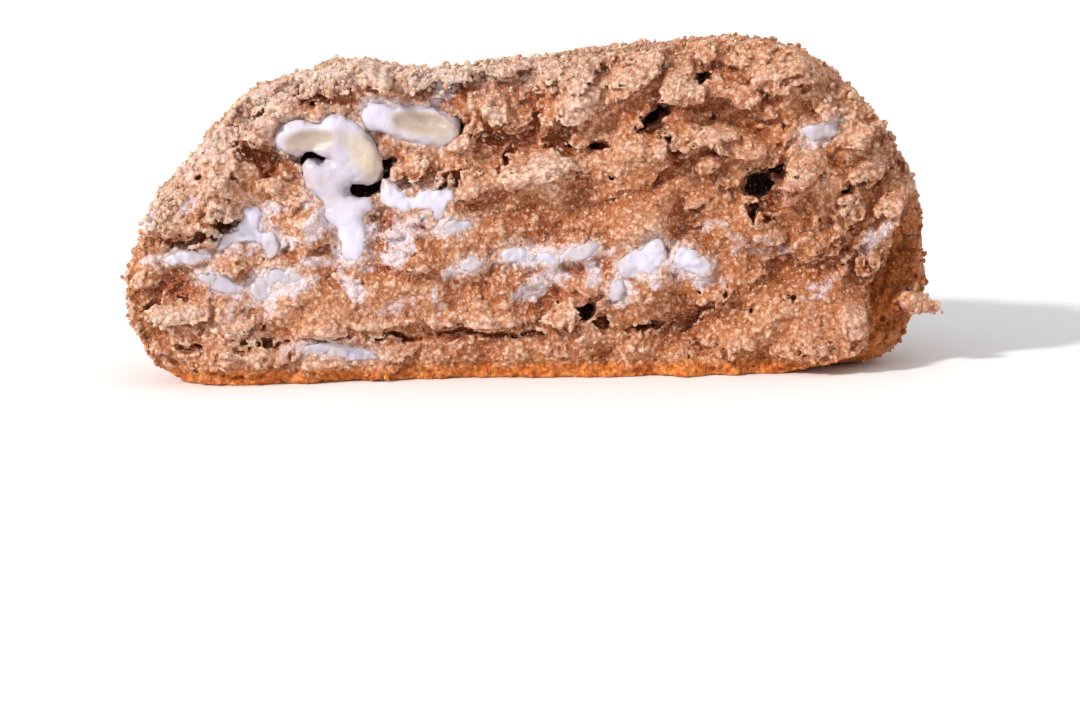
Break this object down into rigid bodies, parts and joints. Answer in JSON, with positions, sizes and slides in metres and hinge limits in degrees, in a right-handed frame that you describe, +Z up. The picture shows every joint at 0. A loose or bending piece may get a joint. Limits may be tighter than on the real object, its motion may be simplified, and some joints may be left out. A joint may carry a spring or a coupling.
{
  "type": "pumpkin spice cookie half",
  "caption": "Half of a thick domed spice cookie broken by hand, with a flat base and a rough broken face holding soft pieces of white chocolate.",
  "frame": {"origin": "middle of the flat base that the half rests on", "axes": "+Z up, +X along the break from left to right as seen from the broken face, +Y from the broken face into the cookie"},
  "size_m": [0.0925, 0.0532, 0.0385],
  "materials": {
    "dough": "soft baked spice dough, granular and moist where it is broken, browned and drier on the crust and base",
    "white_chocolate": "softened white chocolate, smooth and slightly glossy, cream to bluish white"
  },
  "bodies": {
    "root": {"cookie_half": "dough", "chocolate_hook": "white_chocolate", "chocolate_slab": "white_chocolate", "chocolate_bar": "white_chocolate", "chocolate_dash": "white_chocolate", "chocolate_web": "white_chocolate", "chocolate_left_ribbon": "white_chocolate", "chocolate_left_streak": "white_chocolate", "chocolate_patch": "white_chocolate", "chocolate_foot": "white_chocolate", "chocolate_ribbon": "white_chocolate", "chocolate_nub": "white_chocolate", "chocolate_wedge": "white_chocolate", "chocolate_pebble": "white_chocolate", "chocolate_split": "white_chocolate", "chocolate_rim": "white_chocolate"}
  },
  "joints": []
}
